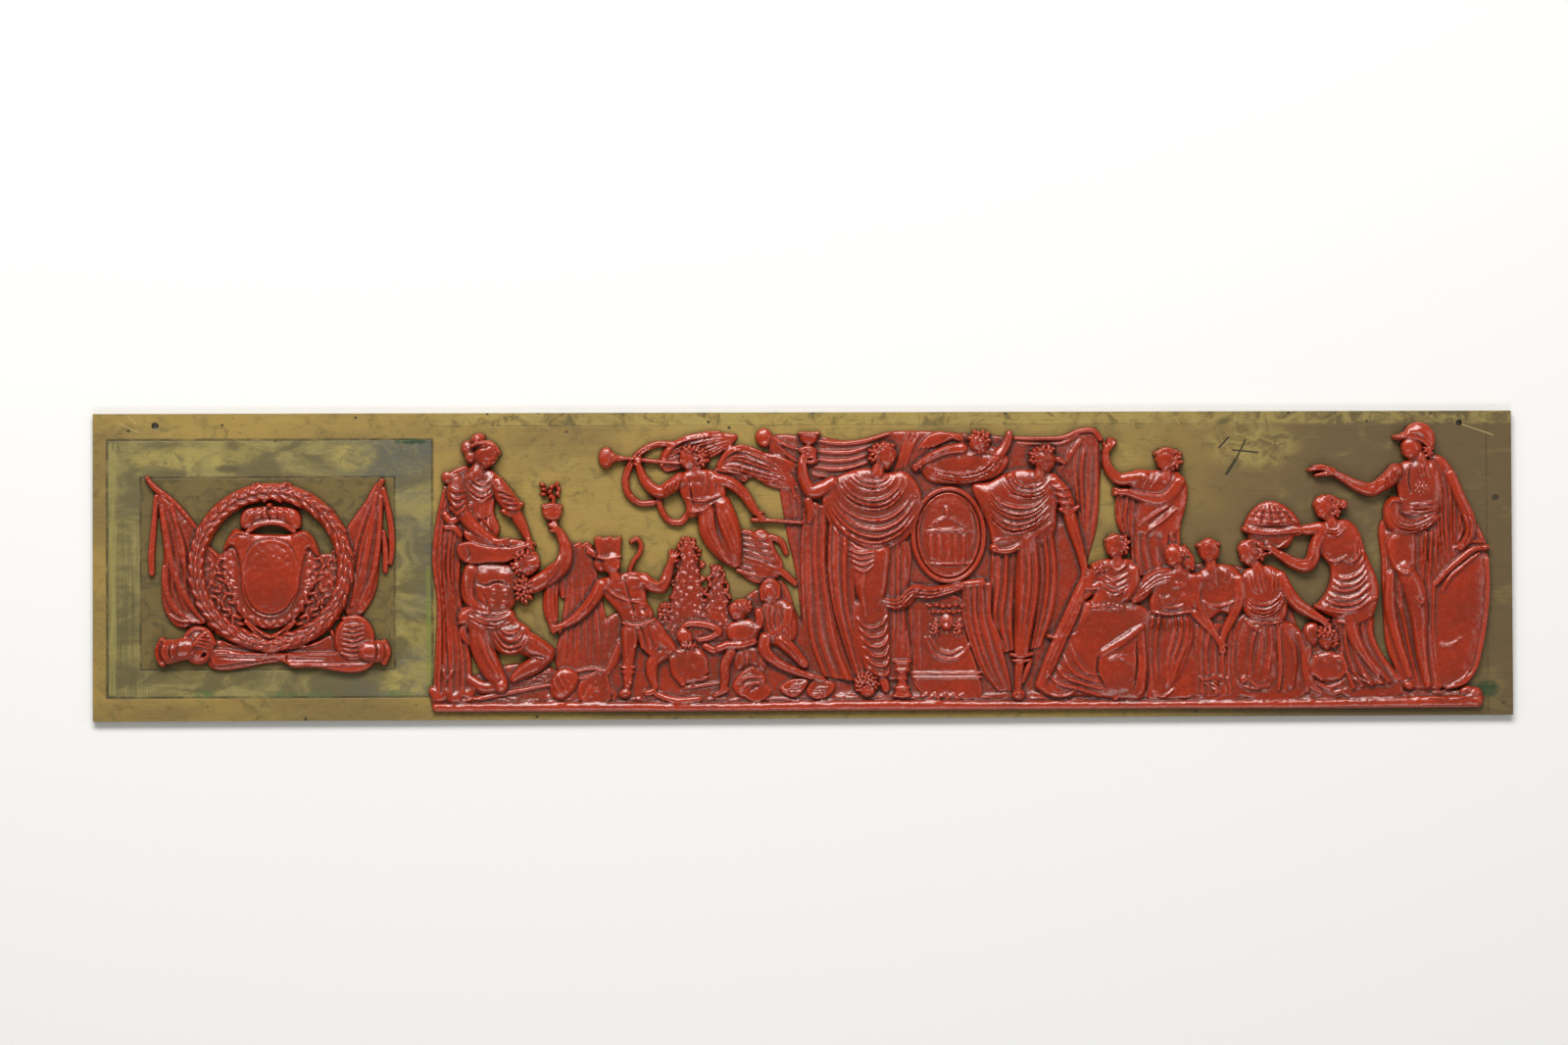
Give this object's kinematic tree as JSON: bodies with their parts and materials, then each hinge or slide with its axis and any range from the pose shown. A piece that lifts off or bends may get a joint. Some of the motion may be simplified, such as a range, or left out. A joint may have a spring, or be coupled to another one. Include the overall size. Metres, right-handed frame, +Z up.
{
  "type": "wax relief plaque",
  "caption": "Long flat brass plate carrying a crowded frieze of draped figures in glossy red wax, with a wreathed shield trophy beside it.",
  "frame": {"origin": "centre of the plate's flat back face, on the wall", "axes": "+X along the plate's length to the viewer's right, +Z up, +Y into the wall, so the relief faces -Y"},
  "size_m": [0.462, 0.0078, 0.0996],
  "materials": {
    "brass": "old sheet brass, brushed along its length, dulled and stained olive and blue-grey",
    "wax": "vermilion modelling wax, glossy on the high forms and dusty brown-pink in the hollows"
  },
  "bodies": {
    "root": {"brass_plate": "brass", "wax_frieze": "wax", "wax_trophy": "wax"}
  },
  "joints": []
}
